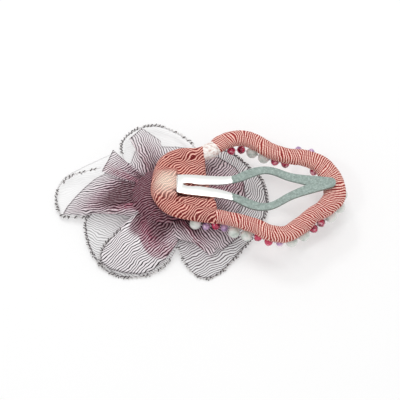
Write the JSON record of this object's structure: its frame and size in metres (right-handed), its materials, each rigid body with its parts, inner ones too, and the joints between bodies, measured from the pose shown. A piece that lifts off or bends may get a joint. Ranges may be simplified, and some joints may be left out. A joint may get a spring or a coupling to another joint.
{
  "type": "flower hair clip",
  "caption": "Snap hair clip: ribbon-wrapped steel loop with a spring tongue, beads along the front and an organza flower at the hinge end",
  "frame": {"origin": "centre of the bottom of the bounding box; the clip lies back side up on the rims of its petals", "axes": "+X from the hinge end to the tip of the loop, +Y across the clip, +Z out of its back"},
  "size_m": [0.1203, 0.0758, 0.0181],
  "materials": {
    "frame_steel": "pressed spring steel, plated",
    "tongue_steel": "satin plated spring steel, cool grey-green cast",
    "rivet_steel": "plated, clinched heads",
    "coral_ribbon": "coral woven ribbon with a wavy moire rib, slight sheen",
    "cream_tape": "cream satin binding tape",
    "bead_thread": "clear nylon beading thread",
    "pearl": "imitation pearl, nacre gloss",
    "crimson_glass": "faceted crimson glass",
    "lilac_glass": "lilac glass with an iridescent coat",
    "backing_felt": "plum felt",
    "flower_core": "gathered organza sewn into a core",
    "sheer_organza": "sheer shot organza, moire",
    "mauve_organza": "folded mauve organza, moire",
    "edging_thread": "overlocked dark and silver thread"
  },
  "bodies": {
    "clip": {"clip_frame": "frame_steel", "hinge_plate": "frame_steel", "tongue_root": "tongue_steel", "hinge_rivets": "rivet_steel", "ribbon_wrap": "coral_ribbon", "hinge_cover": "coral_ribbon", "binding_tape": "cream_tape", "bead_thread": "bead_thread", "pearl_beads": "pearl", "crimson_beads": "crimson_glass", "lilac_beads": "lilac_glass", "flower_backing": "backing_felt", "flower_centre": "flower_core", "centre_pearl": "pearl", "centre_crimson_beads": "crimson_glass", "sheer_petal_right": "sheer_organza", "petal_edging_right": "edging_thread", "sheer_petal_top": "sheer_organza", "petal_edging_top": "edging_thread", "sheer_petal_left": "sheer_organza", "petal_edging_left": "edging_thread", "sheer_petal_bottom_left": "sheer_organza", "petal_edging_bottom_left": "edging_thread", "sheer_petal_bottom_right": "sheer_organza", "petal_edging_bottom_right": "edging_thread", "mauve_petal_right": "mauve_organza", "mauve_petal_top": "mauve_organza", "mauve_petal_top_left": "mauve_organza", "mauve_petal_left": "mauve_organza", "mauve_petal_bottom_left": "mauve_organza", "mauve_petal_bottom_right": "mauve_organza"},
    "tongue": {"tongue_blade": "tongue_steel"}
  },
  "joints": [
    {"name": "tongue_snap", "type": "hinge", "parent": "clip", "child": "tongue", "pos_m": [-0.01013, 0.00021, 0.01687], "axis": [0, -1, 0], "range_deg": [0, 28]}
  ]
}
